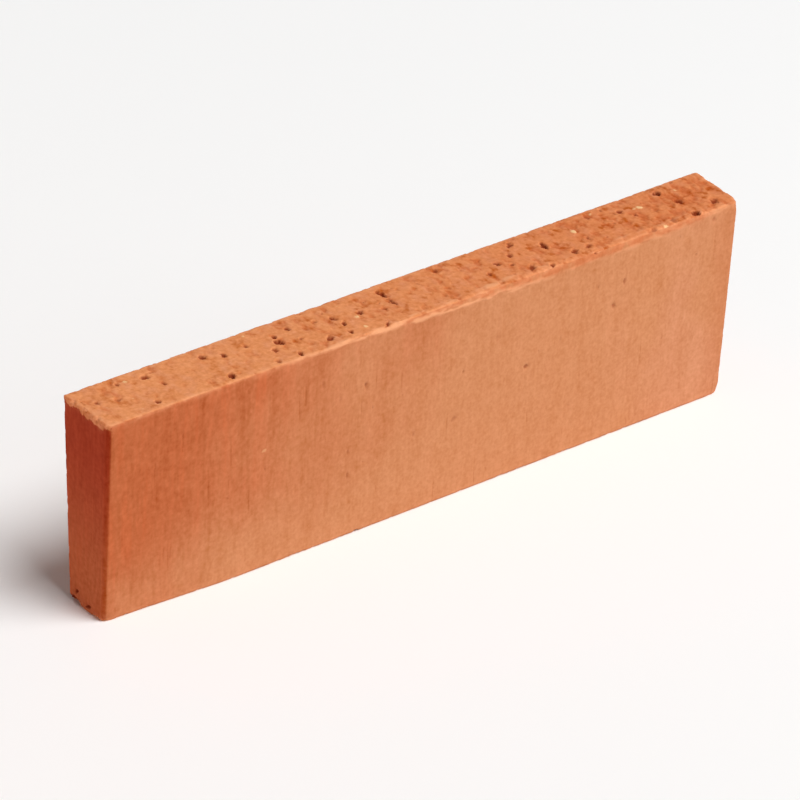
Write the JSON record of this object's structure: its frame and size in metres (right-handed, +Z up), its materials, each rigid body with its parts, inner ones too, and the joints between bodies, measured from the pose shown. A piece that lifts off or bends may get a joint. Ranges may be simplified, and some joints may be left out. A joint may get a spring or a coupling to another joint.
{
  "type": "brick slip",
  "caption": "Thin rectangular slice of fired clay brick with smooth fair face, wire-cut long edges and sawn back, for cladding a wall.",
  "frame": {"origin": "middle of the long wire-cut edge that the slip stands on", "axes": "+X along the slip's length, +Y from the fair face to the sawn back, +Z up the slip's height"},
  "size_m": [0.21, 0.02, 0.06],
  "materials": {
    "fired_clay": "matte, unglazed, sandy on the wire-cut edges and finely streaked on the fair face"
  },
  "bodies": {
    "root": {"brick_slip": "fired_clay"}
  },
  "joints": []
}
